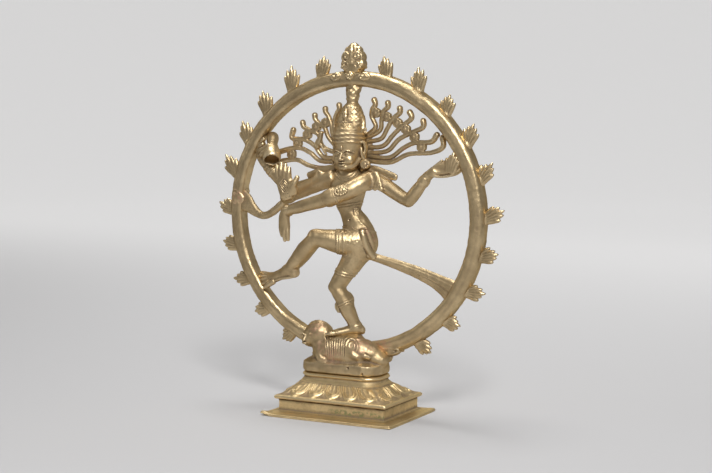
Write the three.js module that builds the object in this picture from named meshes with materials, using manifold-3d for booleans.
// A cast brass figure of the dancing Shiva with four arms. It stands on a crouching dwarf inside a round
// aureole of flames, over a rectangular lotus pedestal. The front faces -Y, the viewer's right is +X, and
// sizes are millimetres.
import * as THREE from "three";
import { mergeVertices } from "three/addons/utils/BufferGeometryUtils.js";
import Module from "manifold-3d";

const wasm = await Module();
wasm.setup();

// The air between two castings.
const seatGap = 0.3;

// Pedestal: a thin flared foot plate, a plain plinth, a cornice, a lotus slope and a rounded neck.
const footPlateLength = 111;
const footPlateWidth = 79;
const footPlateEdge = 1.6;
const footPlateRise = 2.8;
const plinthLength = 90;
const plinthWidth = 58;
const plinthHeight = 7.8;
const corniceOverhang = 2.2;
const corniceHeight = 3.6;
const lotusSlopeHeight = 9.6;
const neckHeight = 6.6;
const frontPetals = 5;
const sidePetals = 3;
const petalLength = 9.6;
const petalOverhang = 0.4;
// A petal's width as a share of its pitch, and a row of petals as a share of its side.
const petalFill = 0.9;
const petalRow = 0.86;

// Oval slab under the dwarf.
const slabLength = 68;
const slabWidth = 36;
const slabHeight = 8.5;
const slabOffsetX = -3;
const slabOffsetY = 2;
const neckInset = 2.2;

// Aureole: a heavy ring with flames every 15 degrees and a leafy finial on top.
const ringInnerRadius = 98;
const ringBand = 12;
const ringDepth = 13.4;
const ringSetBack = 9.3;
const ringLift = 1.8;
const flameCount = 24;
const flameLength = 16.6;
const flameSpread = 6;
const finialHeight = 22.6;
const finialWidth = 23;

const pedestalHeight =
  footPlateEdge + footPlateRise + plinthHeight + corniceHeight + lotusSlopeHeight + neckHeight;
const slabBottom = pedestalHeight + seatGap;
const slabTop = slabBottom + slabHeight;
const ringOuterRadius = ringInnerRadius + ringBand;
const ringMidRadius = ringInnerRadius + ringBand / 2;
const ringCentreZ = slabTop + ringLift + ringOuterRadius;

// The figure's points are drawn in a ring of this inner radius, so far back, over a slab with this top.
const drawing = { ringRadius: 98, back: 9.3, slabTop: 40.8 };
const poseScale = ringInnerRadius / drawing.ringRadius;

function pose([x, y, z]) {
  return new THREE.Vector3(
    x * poseScale,
    ringSetBack + (y - drawing.back) * poseScale,
    slabTop + (z - drawing.slabTop) * poseScale,
  );
}

// A manifold solid from a three.js geometry, turned right side out.
function solid(geometry) {
  const bare = geometry.index ? geometry.toNonIndexed() : geometry.clone();
  bare.deleteAttribute("normal");
  bare.deleteAttribute("uv");
  const merged = mergeVertices(bare, 1e-3);
  const triVerts = new Uint32Array(merged.index.array);
  const vertProperties = merged.attributes.position.array;
  const made = new wasm.Manifold(new wasm.Mesh({ numProp: 3, vertProperties, triVerts }));
  if (made.volume() >= 0) return made;
  for (let i = 0; i < triVerts.length; i += 3) {
    [triVerts[i + 1], triVerts[i + 2]] = [triVerts[i + 2], triVerts[i + 1]];
  }
  return new wasm.Manifold(new wasm.Mesh({ numProp: 3, vertProperties, triVerts }));
}

function join(solids) {
  return solids.reduce((whole, piece) => whole.add(piece));
}

// A closed surface through rings of points, with a fan to one point at each end.
function skin(rings, startPoint, endPoint) {
  const sides = rings[0].length;
  const positions = [];
  const triangle = (a, b, c) => positions.push(...a.toArray(), ...b.toArray(), ...c.toArray());
  for (let j = 0; j < sides; j += 1) {
    const k = (j + 1) % sides;
    triangle(startPoint, rings[0][k], rings[0][j]);
    for (let i = 0; i + 1 < rings.length; i += 1) {
      triangle(rings[i][j], rings[i][k], rings[i + 1][k]);
      triangle(rings[i][j], rings[i + 1][k], rings[i + 1][j]);
    }
    triangle(endPoint, rings.at(-1)[j], rings.at(-1)[k]);
  }
  const geometry = new THREE.BufferGeometry();
  geometry.setAttribute("position", new THREE.Float32BufferAttribute(positions, 3));
  return solid(geometry);
}

const depthAxis = new THREE.Vector3(0, 1, 0);
const heightAxis = new THREE.Vector3(0, 0, 1);

// A rounded limb through stations [x, y, z, radius in its plane, radius along `across`]. `blunt` is how far
// each end's point stands out, as a share of the radius there.
function limb(stations, { sides = 6, across = depthAxis, blunt = 0.5 } = {}) {
  const centres = new THREE.CatmullRomCurve3(stations.map(pose));
  const radii = new THREE.CatmullRomCurve3(
    stations.map((s) => new THREE.Vector3(s[3], s[4] ?? s[3], 0).multiplyScalar(poseScale)),
  );
  const count = stations.length - 1;
  const ringAt = (share, grow, shift) => {
    const middle = centres.getPoint(share);
    const along = centres.getTangent(share).normalize();
    const deep = across.clone().addScaledVector(along, -across.dot(along)).normalize();
    const wide = new THREE.Vector3().crossVectors(deep, along);
    const radius = radii.getPoint(share);
    middle.addScaledVector(along, shift * Math.min(radius.x, radius.y));
    return Array.from({ length: sides }, (_, j) => {
      const turn = ((j + 0.5) * 2 * Math.PI) / sides;
      return middle
        .clone()
        .addScaledVector(wide, radius.x * grow * Math.cos(turn))
        .addScaledVector(deep, radius.y * grow * Math.sin(turn));
    });
  };
  const rings = Array.from({ length: count + 1 }, (_, i) => ringAt(i / count, 1, 0));
  const tip = (share, shift) => ringAt(share, 0, shift)[0];
  return skin(rings, tip(0, -blunt), tip(1, blunt));
}

// An egg shape: centre and half sizes are drawn sizes, and turn is about the depth axis in degrees.
function egg(centre, [rx, ry, rz], { turn = 0, around = 6, rows = 4 } = {}) {
  const geometry = new THREE.SphereGeometry(poseScale, around, rows);
  geometry.rotateX(Math.PI / 2);
  geometry.scale(rx, ry, rz);
  geometry.rotateY(THREE.MathUtils.degToRad(turn));
  geometry.translate(...pose(centre).toArray());
  return solid(geometry);
}

// One pointed tongue with a sharp ridge along its front and back, widest at the share `belly` of its way.
function tongue(root, tip, halfWidth, halfDepth, belly) {
  const along = tip.clone().sub(root);
  const middle = root.clone().addScaledVector(along, belly);
  const wide = new THREE.Vector3().crossVectors(depthAxis, along).normalize();
  const ring = [
    middle.clone().addScaledVector(wide, halfWidth),
    middle.clone().addScaledVector(depthAxis, halfDepth),
    middle.clone().addScaledVector(wide, -halfWidth),
    middle.clone().addScaledVector(depthAxis, -halfDepth),
  ];
  return skin([ring], root, tip);
}

// A flame: one thick leaf whose edge ends in five pointed tips. `direction` is in degrees clockwise from
// upright.
function flame(root, direction, length, spread, thickness) {
  const reaches = [0.66, 0.86, 1, 0.86, 0.66];
  const tongueAngle = 12;
  const at = (angle, reach, sidestep) => {
    const lean = THREE.MathUtils.degToRad(direction + angle);
    const upright = THREE.MathUtils.degToRad(direction);
    return root
      .clone()
      .add(new THREE.Vector3(Math.cos(upright), 0, -Math.sin(upright)).multiplyScalar(sidestep))
      .add(new THREE.Vector3(Math.sin(lean), 0, Math.cos(lean)).multiplyScalar(reach * length));
  };
  const outline = [at(0, 0, -0.7 * spread)];
  reaches.forEach((reach, i) => {
    const turn = (i - 2) * tongueAngle;
    outline.push(at(turn, reach, (i - 2) * 0.2 * spread));
    if (i + 1 < reaches.length) {
      const notch = 0.8 * Math.min(reach, reaches[i + 1]);
      outline.push(at(turn + 0.5 * tongueAngle, notch, (i - 1.5) * 0.2 * spread));
    }
  });
  outline.push(at(0, 0, 0.7 * spread));
  const heart = at(0, 0.26, 0);
  const front = heart.clone().addScaledVector(depthAxis, -thickness);
  const back = heart.clone().addScaledVector(depthAxis, thickness);
  return skin([outline], front, back);
}

// Pedestal

// Points of a rounded rectangle at one height, cornerSteps + 1 points to a corner.
function roundedRectangle(halfX, halfY, z, corner, cornerSteps, [offsetX, offsetY] = [0, 0]) {
  const points = [];
  for (let q = 0; q < 4; q += 1) {
    const signX = q === 0 || q === 3 ? 1 : -1;
    const signY = q < 2 ? 1 : -1;
    for (let i = 0; i <= cornerSteps; i += 1) {
      const turn = ((q + i / cornerSteps) * Math.PI) / 2;
      points.push(
        new THREE.Vector3(
          offsetX + signX * (halfX - corner) + corner * Math.cos(turn),
          offsetY + signY * (halfY - corner) + corner * Math.sin(turn),
          z,
        ),
      );
    }
  }
  return points;
}

// A stack of rounded rectangles, closed flat at both ends.
function stack(levels) {
  const middle = (ring) =>
    ring.reduce((sum, p) => sum.add(p), new THREE.Vector3()).divideScalar(ring.length);
  return skin(levels, middle(levels[0]), middle(levels.at(-1)));
}

const plinthBottom = footPlateEdge + footPlateRise;
const plinthTop = plinthBottom + plinthHeight;
const corniceTop = plinthTop + corniceHeight;
const slopeTop = corniceTop + lotusSlopeHeight;
const slopeFootX = plinthLength / 2 - 1;
const slopeFootY = plinthWidth / 2 - 1;
const neckX = slabLength / 2 - neckInset;
const neckY = slabWidth / 2 - neckInset;
const neckCorner = 0.8 * neckY;
const sharpCorner = 0.6;
const slopeCorner = 3;

function pedestalBody() {
  const level = (halfX, halfY, z, corner, offset) =>
    roundedRectangle(halfX, halfY, z, corner, 2, offset);
  const plateX = footPlateLength / 2;
  const plateY = footPlateWidth / 2;
  const boxX = plinthLength / 2;
  const boxY = plinthWidth / 2;
  const lip = corniceOverhang;
  const offset = [slabOffsetX, slabOffsetY];
  const half = [slabOffsetX / 2, slabOffsetY / 2];
  const hollowX = 0.4 * slopeFootX + 0.6 * neckX;
  const hollowY = 0.4 * slopeFootY + 0.6 * neckY;
  return stack([
    level(plateX, plateY, 0, sharpCorner),
    level(plateX, plateY, footPlateEdge, sharpCorner),
    level((plateX + boxX) / 2, (plateY + boxY) / 2, footPlateEdge + 0.3 * footPlateRise, sharpCorner),
    level(boxX + 1.4, boxY + 1.4, footPlateEdge + 0.6 * footPlateRise, sharpCorner),
    level(boxX, boxY, plinthBottom, sharpCorner),
    level(boxX, boxY, plinthTop, sharpCorner),
    level(boxX + lip, boxY + lip, plinthTop + 0.2 * corniceHeight, sharpCorner),
    level(boxX + lip + 0.8, boxY + lip + 0.8, plinthTop + 0.5 * corniceHeight, sharpCorner + 0.8),
    level(boxX + lip, boxY + lip, corniceTop - 0.2 * corniceHeight, sharpCorner),
    level(slopeFootX + 0.6, slopeFootY + 0.6, corniceTop, slopeCorner),
    level(hollowX, hollowY, corniceTop + 0.62 * lotusSlopeHeight, 0.6 * neckCorner, half),
    level(neckX + 1.2, neckY + 1.2, slopeTop - 0.6, neckCorner, offset),
    level(neckX + 1.8, neckY + 1.8, slopeTop + 0.25 * neckHeight, neckCorner, offset),
    level(neckX + 0.6, neckY + 0.6, slopeTop + 0.5 * neckHeight, neckCorner, offset),
    level(neckX + 0.9, neckY + 0.9, slopeTop + 0.75 * neckHeight, neckCorner, offset),
    level(neckX, neckY, pedestalHeight, neckCorner, offset),
  ]);
}

// A lotus petal that lies on the slope with its rounded tip down, at `place` along the side that faces
// `facing` degrees.
function petal(facing, place, run, width) {
  const outline = [
    [-0.4, 0],
    [-0.5, 0.6],
    [0, 1],
    [0.5, 0.6],
    [0.4, 0],
  ];
  const rise = corniceTop + 0.66 * lotusSlopeHeight;
  const drop = rise - (corniceTop + 0.4);
  const turn = THREE.MathUtils.degToRad(facing);
  const onSlope = ([u, v], lift) =>
    new THREE.Vector3(place + u * width, -(run.in + v * (run.out - run.in)), rise - v * drop)
      .add(new THREE.Vector3(0, -0.6 * lift, lift))
      .applyAxisAngle(heightAxis, turn);
  const edge = outline.map((p) => onSlope(p, 0.2));
  const crown = outline.map(([u, v]) => onSlope([0.62 * u, 0.12 + 0.74 * v], 1.5));
  const buried = outline.map((p) => onSlope(p, -2));
  return skin([buried, edge, crown], onSlope([0, 0.5], -2.2), onSlope([0, 0.55], 1.8));
}

function pedestal() {
  const sides = [
    { facing: 0, count: frontPetals, length: plinthLength, half: plinthWidth / 2 },
    { facing: 180, count: frontPetals, length: plinthLength, half: plinthWidth / 2 },
    { facing: 90, count: sidePetals, length: plinthWidth, half: plinthLength / 2 },
    { facing: 270, count: sidePetals, length: plinthWidth, half: plinthLength / 2 },
  ];
  const petals = sides.flatMap(({ facing, count, length, half }) => {
    const pitch = (length * petalRow) / count;
    const run = { in: half - petalLength, out: half + petalOverhang };
    return Array.from({ length: count }, (_, i) =>
      petal(facing, (i - (count - 1) / 2) * pitch, run, petalFill * pitch),
    );
  });
  return join([pedestalBody(), ...petals]);
}

// Aureole

// The ring's section as shares of the half band and half depth, from the rounded front to the flatter back.
function ringSection(grow) {
  const shares = [
    [-0.05, -1],
    [-0.66, -0.8],
    [-1, -0.2],
    [-0.8, 0.94],
    [0.8, 0.94],
    [1, -0.2],
    [0.62, -0.8],
  ];
  const points = shares.map(
    ([r, y]) => new THREE.Vector2(ringMidRadius + r * (ringBand / 2 + grow), y * (ringDepth / 2 + grow)),
  );
  return [...points, points[0]];
}

function ringBandSolid(grow) {
  const geometry = new THREE.LatheGeometry(ringSection(grow), 2 * flameCount);
  geometry.translate(0, ringSetBack, ringCentreZ);
  return solid(geometry);
}

function onRing(degrees, radius, back = 0) {
  const turn = THREE.MathUtils.degToRad(degrees);
  const [x, z] = [radius * Math.sin(turn), radius * Math.cos(turn)];
  return new THREE.Vector3(x, ringSetBack + back, ringCentreZ + z);
}

// The flames blow upwards, so each leans from the ring's own direction towards upright.
const flameLean = 28;
const flamePitch = 360 / flameCount;
const lastFlame = 10;

function flames() {
  const made = [];
  for (let i = 1; i <= lastFlame; i += 1) {
    for (const side of [-1, 1]) {
      const degrees = i * flamePitch;
      const direction = degrees - flameLean;
      const root = onRing(side * degrees, ringOuterRadius - 1.5);
      made.push(flame(root, side * direction, flameLength, flameSpread, 1.9));
    }
  }
  return made;
}

// An ellipsoid on the aureole. `back` is from the ring's middle plane, and `grow` adds to its radii.
function leaf(x, back, z, [rx, ry, rz], grow = 0) {
  const geometry = new THREE.SphereGeometry(1, 6, 4);
  geometry.scale(rx + grow, ry + grow, rz + grow);
  geometry.translate(x, ringSetBack + back, z);
  return solid(geometry);
}

// The finial: a mound of curled leaves.
function finial() {
  const foot = ringCentreZ + ringOuterRadius;
  const lobes = [
    [0, 0.24, 0.4, 0.3],
    [-0.34, 0.26, 0.17, 0.2],
    [0.34, 0.26, 0.17, 0.2],
    [-0.26, 0.58, 0.16, 0.2],
    [0.26, 0.58, 0.16, 0.2],
    [0, 0.66, 0.21, 0.27],
    [0, 0.86, 0.14, 0.14],
    [0, 0.05, 0.36, 0.12],
  ];
  return lobes.map(([x, z, rx, rz]) =>
    leaf(x * finialWidth, 0, foot + z * finialHeight, [rx * finialWidth, 5, rz * finialHeight]),
  );
}

// A garland of scrolls over the ring's front, below the finial.
function garland(grow = 0) {
  return [-7.4, -2.5, 2.5, 7.4].map((degrees) => {
    const at = onRing(degrees, ringMidRadius + 1.6);
    return leaf(at.x, -0.36 * ringDepth, at.z, [4.6, 3.2, 3.4], grow);
  });
}

// The lumps that the ring's ends swell into over the slab, cut flat above it.
function ringFeet(grow = 0) {
  const bottom = slabTop + seatGap;
  const half = 0.48 * ringDepth;
  const feet = [
    leaf(-0.235 * ringOuterRadius, -1, bottom + 2, [9, half, 8], grow),
    leaf(0.26 * ringOuterRadius, -1, bottom + 3.4, [11, half, 6.4], grow),
    leaf(0.33 * ringOuterRadius, -1, bottom + 6, [5.4, half, 4], grow),
  ];
  return feet.map((foot) => foot.trimByPlane([0, 0, 1], bottom - grow));
}

function aureole() {
  return join([ringBandSolid(0), ...flames(), ...finial(), ...garland(), ...ringFeet()]);
}

// Dancing figure

// A hand's or foot's digits, each [root, tip, radius] and tapered.
function digits(list) {
  return list.map(([root, tip, radius]) =>
    limb([[...root, radius], [...tip, 0.75 * radius]], { sides: 4, blunt: 0.8 }),
  );
}

function torso() {
  const body = limb(
    [
      [7.6, 4, 126, 10.5, 9],
      [8, 4.2, 134, 13.4, 11],
      [5.6, 3.8, 144, 11.4, 9],
      [2.2, 3.2, 151, 9.2, 7.6],
      [0.2, 3, 156, 8.8, 7.4],
      [-0.8, 2.8, 162, 11, 8.2],
      [-1.2, 2.4, 172, 14.6, 9.6],
      [-1.4, 2.4, 179, 16.0, 8.8],
      [-1.2, 2.6, 184, 10, 7],
    ],
    { sides: 10, blunt: 0.3 },
  );
  const neck = limb([[-0.8, 2, 180, 6.6], [-0.4, 1.6, 187, 5.8], [0, 1.6, 194, 6]], { sides: 9 });
  const necklace = limb(
    [
      [-9, -2, 186, 1.4],
      [-7, -6.4, 182, 1.4],
      [-0.8, -8.4, 178.6, 1.6],
      [6, -6.4, 182, 1.4],
      [8.6, -2, 186, 1.4],
    ],
    { sides: 4 },
  );
  const belt = limb(
    [
      [-5.4, -2, 146.6, 1.5],
      [0, -6.2, 145.2, 1.7],
      [7, -6.8, 142.6, 1.8],
      [14, -3.4, 140.4, 1.8],
      [18, 3, 138.6, 1.6],
    ],
    { sides: 4 },
  );
  const hem = limb(
    [
      [-4.6, -6, 142, 1.6],
      [-6.2, -12.6, 138, 1.4],
      [-6.4, -14.4, 132, 1.4],
      [-5.2, -11, 126, 1.4],
      [-3, -4, 123, 1.4],
    ],
    { sides: 4 },
  );
  return [body, neck, necklace, belt, hem];
}

// The face is drawn on the usual thirds, from the diadem to the chin.
function head() {
  const skull = egg([0, 1.4, 204.4], [11.2, 12.2, 13.6], { around: 9, rows: 6 });
  const jaw = egg([0, -3.2, 195.6], [7.8, 7.4, 8], { around: 9, rows: 6 });
  const nose = tongue(pose([0, -9.6, 202.4]), pose([0, -12.4, 195.2]), 1.7, 2, 0.8);
  const lips = egg([0, -10.1, 192.4], [3, 1.5, 1.2]);
  const eyes = [-1, 1].map((side) => egg([side * 4.3, -9.4, 199.7], [2.5, 1.3, 1.2]));
  const ears = [-1, 1].flatMap((side) => [
    limb([
      [side * 11.6, 1.4, 207.4, 1.8, 2.4],
      [side * 12.4, 1.4, 201, 1.6, 2.2],
      [side * 12.8, 1.2, 195, 1.5, 2],
    ]),
    limb([[side * 13.6, -1.6, 190.8, 4.2], [side * 14, 2, 190.8, 4.2]], {
      sides: 9,
      across: heightAxis,
      blunt: 0.2,
    }),
  ]);
  return [skull, jaw, nose, lips, ...eyes, ...ears];
}

// Piled hair, bound by a diadem, with the column above it that reaches the ring.
function crown() {
  const turns = 10;
  const profile = [
    [0, 206],
    [11.4, 206],
    [12.4, 214],
    [11.6, 217],
    [12.6, 223],
    [11.4, 229],
    [6.2, 236.4],
    [4.2, 239.4],
    [5.2, 243],
    [6.4, 249],
    [6.8, 253],
    [0, 253],
  ];
  const geometry = new THREE.LatheGeometry(
    profile.map(([r, z]) => new THREE.Vector2(r * poseScale, (z - drawing.slabTop) * poseScale)),
    turns,
  );
  geometry.rotateX(Math.PI / 2);
  geometry.scale(1, 0.86, 1);
  geometry.translate(0, ringSetBack + (5 - drawing.back) * poseScale, slabTop);
  const pile = solid(geometry);
  const jewel = egg([0, -6.2, 220.4], [3.4, 1.8, 4.4]);
  const crest = egg([0, -4.8, 228.6], [3.6, 2, 4.2]);
  const tail = egg([12.2, 4, 217], [2.4, 3, 4.4]);
  return [pile, jewel, crest, tail];
}

// The locks of both fans as [x, z] from root to hooked tip, the viewer's right first, and the blossoms
// between them.
const rightLocks = [
  [[12, 214.5], [18.5, 220], [15.2, 228], [15.5, 233], [18.2, 237], [17, 240.3]],
  [[12, 212], [22.5, 218], [23.5, 224.5], [25, 231.5], [29, 235.3], [28.6, 238]],
  [[12, 208.8], [23.5, 211.5], [28.5, 219], [33.5, 226.5], [39, 231], [38.7, 234]],
  [[12, 204.3], [25, 205.8], [33.5, 214.2], [41.5, 221.2], [48.8, 227], [47, 231]],
  [[12, 200], [29, 202.3], [37.8, 210.5], [48, 215.6], [58.5, 220.5], [58.2, 224.6]],
  [[12, 197.6], [31, 197.3], [42, 204.3], [51, 208.3], [65.5, 209.4], [69.4, 214.3]],
  [[12, 194], [31.5, 193.6], [46, 199.7], [66, 201.4], [74.6, 205.5], [74.3, 212.4]],
];
const leftLocks = [
  [[-13, 206], [-16.4, 214], [-17.2, 224], [-15.2, 229.8], [-12.8, 233.6], [-13.2, 236.4]],
  [[-12, 203.5], [-18.6, 213.5], [-19.8, 221], [-22, 227.5], [-25, 231.3], [-25.4, 233.6]],
  [[-12, 201], [-22.6, 212], [-25.5, 218.8], [-31.5, 223], [-34.2, 226], [-34.7, 228.6]],
  [[-12, 198.6], [-27.6, 204.6], [-31.5, 214], [-39, 217], [-44.5, 220], [-45.5, 223]],
  [[-12, 196.2], [-27, 196.6], [-35, 205.4], [-44, 209.8], [-55, 211], [-54, 217.2]],
  [[-12, 193], [-30, 193.6], [-38.5, 199.6], [-48, 203.2], [-58, 202.2], [-68, 199.4]],
  [[-12, 189.5], [-30, 188], [-40, 189.8], [-50, 193.8], [-61, 193.2], [-72, 190.6]],
];
const blossoms = [
  [18, 229.7], [27.3, 228.6], [36.6, 223], [42.9, 218.2], [50.4, 212.2], [56.3, 205.2],
  [-25.4, 222.3], [-33.4, 218.8], [-41.5, 212.9], [-50.1, 206.3], [-55.5, 198],
];
const lockBack = 10;
const lockRadius = 2.1;
const blossomRadius = 4;

function hair() {
  const locks = [...rightLocks, ...leftLocks].map((path) =>
    limb(path.map(([x, z]) => [x, lockBack, z, lockRadius]), { sides: 4 }),
  );
  const flowers = blossoms.map(([x, z]) =>
    egg([x, lockBack, z], [blossomRadius, 2.4, blossomRadius], { rows: 3 }),
  );
  const backOfHair = egg([0, 10, 204], [15, 4.4, 14], { around: 10, rows: 5 });
  const rider = egg([-26.6, 6.6, 208], [2.8, 3.2, 6], { turn: 16 });
  return [...locks, ...flowers, backOfHair, rider];
}

// The raised front hand, palm to the viewer, on the viewer's left.
function blessingArm() {
  const upper = limb([
    [-15, 1, 180.4, 7, 6.4],
    [-26, 0, 176.8, 6.2, 6],
    [-39, -2, 171.2, 5.6, 5.4],
    [-48.4, -5, 166.2, 4.8, 4.8],
  ]);
  const fore = limb(
    [
      [-48, -3, 166, 4.8, 4.6],
      [-47, -12, 165.6, 4.6, 4.4],
      [-43.8, -18.6, 167.6, 4.6, 3.8],
    ],
    { across: heightAxis },
  );
  const palm = limb([
    [-43, -19, 166.6, 4.8, 3.6],
    [-43.8, -20, 173.4, 7.2, 3],
    [-45.4, -20, 182.6, 7.8, 2.6],
  ]);
  const fingers = digits([
    [[-50.8, -20, 180], [-51.8, -19.6, 189.2], 2.3],
    [[-47.4, -20, 181], [-47.3, -19.6, 191.8], 2.3],
    [[-43.8, -20, 181], [-43.3, -19.6, 190.4], 2.3],
    [[-40.4, -20, 180], [-40, -19.6, 187.6], 2.2],
    [[-38.6, -20.4, 171.4], [-32.8, -20.4, 181.8], 2.6],
  ]);
  return [upper, fore, palm, ...fingers];
}

// The front arm that crosses the chest, its hand hanging.
function crossingArm() {
  const upper = limb([
    [17.4, -1, 180, 6.4, 6.2],
    [14, -8, 176.6, 6, 6],
    [4.4, -13.6, 171.6, 5.6, 5.6],
    [-5.8, -17, 167.2, 5.5, 5.5],
  ]);
  const fore = limb([
    [-5.8, -17, 167.2, 5.5, 5.5],
    [-19, -19.2, 163.4, 5, 5],
    [-32, -20, 159.2, 4.6, 4.6],
    [-43.6, -20, 155.8, 4, 4],
  ]);
  const palm = limb([
    [-43.2, -20, 156.2, 4, 3.8],
    [-44.8, -20, 150.4, 4.8, 3.6],
    [-44.6, -20, 143, 5.4, 3],
  ]);
  const fingers = digits([
    [[-42.4, -20, 144.4], [-41.8, -20, 134.4], 2.9],
    [[-45, -20.6, 144], [-44.4, -20.6, 135.4], 2.4],
    [[-47.4, -20, 145.4], [-47.4, -19, 137.4], 2.4],
  ]);
  const armlet = [
    limb([[-7.4, -17.4, 166.8, 6.4], [-5.6, -17, 167.4, 6.4]], { sides: 8, blunt: 0.1 }),
    egg([0.2, -19.6, 171.4], [6.4, 2.2, 4.6], { turn: -22 }),
  ];
  const bracelet = limb([[-41.4, -20, 156.4, 4.8], [-39.8, -20, 156.8, 4.8]], { sides: 8, blunt: 0.1 });
  return [upper, fore, palm, ...fingers, ...armlet, bracelet];
}

// The back arm on the viewer's left, holding up an hourglass drum.
function drumArm() {
  const upper = limb([
    [-16, 5, 180.4, 5.6],
    [-30, 7, 176.6, 5.4],
    [-44, 8, 173.4, 5],
    [-56.4, 8, 171, 4.8],
  ]);
  const fore = limb([
    [-56.4, 8, 171, 4.8],
    [-64.6, 8, 178, 5.2],
    [-72.4, 8, 186, 5.4],
    [-78.4, 7.8, 193, 5.2],
  ]);
  const palm = limb([
    [-77.6, 7.8, 192, 5.2, 5],
    [-81, 7, 198, 5, 4.4],
    [-81.4, 6.6, 204.4, 3.8, 3.4],
  ]);
  const fingers = digits([
    [[-81.4, 4, 200], [-75.4, 0, 203.4], 2.4],
    [[-81.8, 5, 204.4], [-75.8, 2.6, 208.6], 2.4],
    [[-80, 4.6, 196.4], [-73.6, 2, 198], 2.4],
  ]);
  const drum = limb(
    [
      [-67.7, 0.4, 195.8, 5.6],
      [-68.4, 1.6, 199.2, 6],
      [-69.7, 3.8, 203.8, 5.6],
      [-70.4, 5, 206.6, 3.2],
      [-71.2, 6.4, 209.2, 4],
      [-72.4, 8.2, 213.8, 3.8],
    ],
    { sides: 8, blunt: 0.15 },
  );
  return [upper, fore, palm, ...fingers, drum];
}

// The back arm on the viewer's right, with a flame on its open palm against the ring.
function flameArm() {
  const upper = limb([
    [15, 4, 181.4, 6, 5.6],
    [26, 4, 177.4, 5.8, 5.6],
    [38, 3.4, 171, 5.8, 5.6],
    [49.6, 3, 165, 5, 5],
  ]);
  const fore = limb([
    [49.6, 3, 165, 5, 5],
    [56.4, 3.4, 173, 4.8, 4.6],
    [63, 4, 181.4, 3.9, 3.9],
    [65, 4.4, 184, 3.9, 3.9],
  ]);
  const bracelet = limb([[60.4, 3.8, 178.4, 4.9], [61.8, 3.9, 180.2, 4.9]], { sides: 8, blunt: 0.1 });
  const palm = limb([
    [64.6, 4.4, 185, 3.6, 4],
    [70.6, 5.2, 187.6, 5, 4.4],
    [77, 6, 189.2, 7, 4.2],
    [84, 7.2, 188.8, 6.4, 4],
    [91, 8.6, 192.4, 5.2, 4],
  ]);
  const torch = flame(pose([83, 6, 187]), 12, 16.4 * poseScale, 6.4 * poseScale, 2.9 * poseScale);
  return [upper, fore, bracelet, palm, torch];
}

// The cobra on the forearm: its body dips and its hood meets the ring.
function cobra() {
  return [
    limb(
      [
        [-49, -3, 166.2, 3.6, 3.4],
        [-57, -1, 160.6, 3.2],
        [-67.6, 0, 153, 3.1],
        [-77.2, 1.2, 150, 3],
        [-84, 2.6, 152.4, 3.8, 3.2],
        [-90, 4, 156.4, 5.4, 3.4],
        [-97, 5.6, 160.4, 8.4, 3.4],
      ],
      { sides: 8 },
    ),
  ];
}

// Scarf ends that fan out over both shoulders.
function shoulderScarf() {
  return [-1, 1].flatMap((side) => [
    limb([[side * 8, 7, 186.4, 3.6, 2], [side * 22, 7, 183.6, 4.4, 2], [side * 37.6, 7, 180.4, 3.2, 1.8]], {
      blunt: 0.15,
    }),
    limb([[side * 19, 0, 183, 3, 3.4], [side * 22.4, 0, 177.6, 4.4, 3.4], [side * 25, 0, 172.6, 5, 2.6]], {
      blunt: 0.15,
    }),
  ]);
}

// The sash: a knot and loop on the hip, and an end that widens until it meets the ring.
function sash() {
  const loop = limb([
    [13, -7, 140, 1.8],
    [16.4, -8, 134, 2.2],
    [19.6, -5, 127.4, 2.4],
    [21, -0.6, 122.6, 3],
  ]);
  const end = limb(
    [
      [15.6, 1, 124, 3.4, 2.6],
      [22, 2.4, 121.4, 3.4, 2.4],
      [34, 4, 118, 3.8, 2],
      [48, 5.6, 113.6, 4.4, 2],
      [62, 7, 109.4, 5.2, 2],
      [74, 8, 103.6, 6.6, 2],
      [82, 8.6, 98.4, 9.4, 2.2],
      [88, 9, 95, 12, 2.6],
    ],
    { sides: 8, blunt: 0.2 },
  );
  return [loop, end];
}

function liftedLeg() {
  const thigh = limb([
    [7, -1, 133, 10.4, 9.4],
    [-5, -6.6, 132.8, 9.7, 8.6],
    [-14, -10, 134.8, 7.8, 7.4],
    [-21, -12, 136.2, 6.6, 6.4],
  ]);
  const shin = limb([
    [-20.6, -12, 136, 6.6, 6.4],
    [-30, -10, 128, 6.9, 6.4],
    [-41, -6.6, 117.4, 6.2, 5.8],
    [-51, -3.6, 109.4, 4.7, 4.7],
  ]);
  const foot = limb([
    [-44.4, -4.6, 107.4, 2.6, 3.2],
    [-52, -3.4, 107, 4.3, 4],
    [-61, -0.6, 103.8, 4.2, 4],
    [-71, 4, 100.6, 4.8, 3.6],
    [-77, 7, 99.6, 5.4, 3],
  ]);
  const toes = digits([
    [[-70, 0.6, 96.8], [-75.6, 2.6, 93.6], 2.3],
    [[-72.6, 2.6, 98], [-80, 5, 95.6], 1.9],
    [[-74, 3.6, 100.6], [-82.6, 6, 99], 1.8],
    [[-74, 4.4, 103], [-84, 7, 102.6], 1.8],
  ]);
  return [thigh, shin, foot, ...toes];
}

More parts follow.
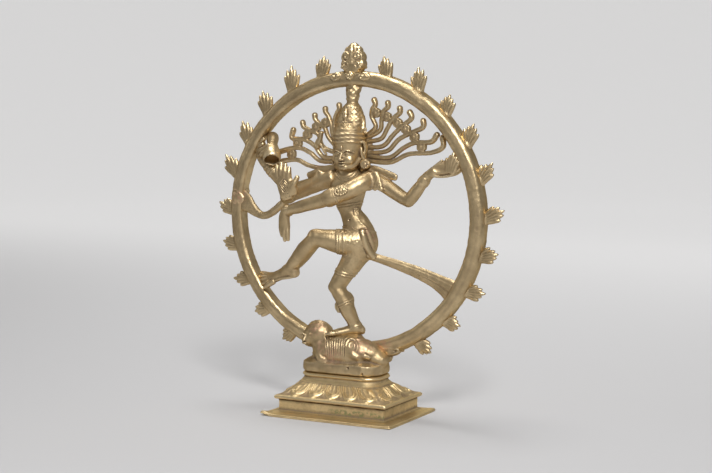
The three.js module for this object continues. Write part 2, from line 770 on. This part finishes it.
function standingLeg() {
  const thigh = limb([
    [6.4, 3, 128, 10.8, 10],
    [3.6, 1.6, 119.6, 9.4, 9],
    [-1.6, -1.4, 109.6, 7.8, 7.7],
    [-7.6, -4.8, 98.2, 6.8, 6.8],
  ]);
  const shin = limb([
    [-7.6, -4.8, 98.2, 6.8, 6.8],
    [-3, -4.4, 90.4, 6.4, 6.3],
    [1.4, -3, 80, 6.1, 6.1],
    [4.6, -1, 71.6, 5.2, 5.2],
    [6.4, 0.6, 66, 5.3, 5],
  ]);
  const foot = limb([
    [10.4, 2.4, 65, 3.6, 4],
    [5, -0.4, 65.4, 4, 4.2],
    [-2, -4, 64, 3.4, 4.6],
    [-8.6, -7.4, 63, 2.6, 5],
  ]);
  const toes = digits([
    [[-7, -4.6, 63], [-11.8, -5.4, 62.4], 1.7],
    [[-7.6, -7.4, 63], [-12.6, -8.8, 62.4], 1.8],
    [[-7, -10, 63], [-11.4, -11.8, 62.4], 1.8],
  ]);
  const ring = (x, y, z, radius) =>
    limb([[x, y, z + 0.8, radius], [x, y, z - 0.8, radius]], { sides: 8, blunt: 0.1 });
  const garter = ring(-2.4, -4.2, 89, 7.1);
  const anklet = ring(5.6, 0.3, 68.4, 6.1);
  const bell = egg([-6.4, -7, 82.2], [2.6, 2.6, 5], { turn: 22 });
  return [thigh, shin, foot, ...toes, garter, anklet, bell];
}

// The dwarf lies across the slab with his head at the viewer's left, in a pleated waistcloth.
function dwarf() {
  const parts = [
    egg([-23.6, -5, 61.6], [10.6, 9.6, 9.8], { around: 10, rows: 6 }),
    egg([-28.4, -9, 56.8], [6.6, 5.6, 6.4]),
    limb(
      [
        [-20, -4, 52, 9, 8],
        [-8, -3, 51.4, 10.4, 10],
        [4, -2.6, 51.6, 10.8, 11],
        [15, -1, 50, 10, 10],
        [22, 2, 48, 8, 8],
      ],
      { sides: 9, blunt: 0.6 },
    ),
    limb([[-30, 2, 54, 3.6], [-34, 1, 48, 3.2], [-33, -1, 42, 3.6]]),
    limb([[-20, -10, 50, 3.8], [-22, -13.4, 45, 3.2], [-16.4, -14.4, 42.4, 2.8]]),
    egg([9, -9.4, 51.6], [7.4, 5, 7.6]),
    limb([[7, -12, 46, 3], [12, -14, 43.6, 2.8], [17, -12, 43.4, 2.6]]),
    limb([[17, -8, 50, 4.4], [23.4, -6, 46.4, 4], [25, -7.4, 43, 3.2]]),
    limb([[2, -1, 60, 9, 7], [0, -1.4, 60.6, 9, 7]], { sides: 8, blunt: 0.5 }),
  ];
  const pleats = 3;
  for (let i = 0; i < pleats; i += 1) {
    const x = -8.4 + i * 4.4;
    parts.push(
      limb(
        [
          [x, -9.4, 59, 2, 1.8],
          [x - 0.2, -13, 51, 2, 1.8],
          [x - 0.4, -14, 42.6, 2.2, 1.8],
        ],
        { sides: 5 },
      ),
    );
  }
  return parts;
}

function slab() {
  const level = (inset, z) =>
    roundedRectangle(
      slabLength / 2 - inset,
      slabWidth / 2 - inset,
      z,
      0.82 * (slabWidth / 2 - inset),
      4,
      [slabOffsetX, slabOffsetY],
    );
  return stack([
    level(1.6, slabBottom),
    level(0.4, slabBottom + 0.14 * slabHeight),
    level(0, slabBottom + 0.5 * slabHeight),
    level(0.7, slabBottom + 0.8 * slabHeight),
    level(3, slabTop),
  ]);
}

function figure() {
  const body = join([
    slab(),
    ...dwarf(),
    ...standingLeg(),
    ...liftedLeg(),
    ...torso(),
    ...sash(),
    ...shoulderScarf(),
    ...flameArm(),
    ...drumArm(),
    ...cobra(),
    ...blessingArm(),
    ...crossingArm(),
    ...head(),
    ...crown(),
    ...hair(),
  ]);
  const aureoleRoom = join([ringBandSolid(seatGap), ...garland(seatGap), ...ringFeet(seatGap)]);
  return body.subtract(aureoleRoom).trimByPlane([0, 0, 1], slabBottom);
}

// The largest single body of a solid, without slivers that a cut has left.
function largestBody(made) {
  return made.decompose().reduce((best, piece) => (piece.volume() > best.volume() ? piece : best));
}

function namedMesh(name, made, material) {
  const { vertProperties, triVerts } = largestBody(made).getMesh();
  const geometry = new THREE.BufferGeometry();
  geometry.setAttribute("position", new THREE.BufferAttribute(new Float32Array(vertProperties), 3));
  geometry.setIndex(new THREE.BufferAttribute(triVerts, 1));
  const mesh = new THREE.Mesh(geometry, material);
  mesh.name = name;
  return mesh;
}

const brass = new THREE.MeshStandardMaterial({ color: 0xb0935a, roughness: 0.38, metalness: 1 });

const part = new THREE.Group();
part.add(
  namedMesh("lotus_pedestal", pedestal(), brass),
  namedMesh("dancing_figure", figure(), brass.clone()),
  namedMesh("flame_ring", aureole(), brass.clone()),
);

export default part;
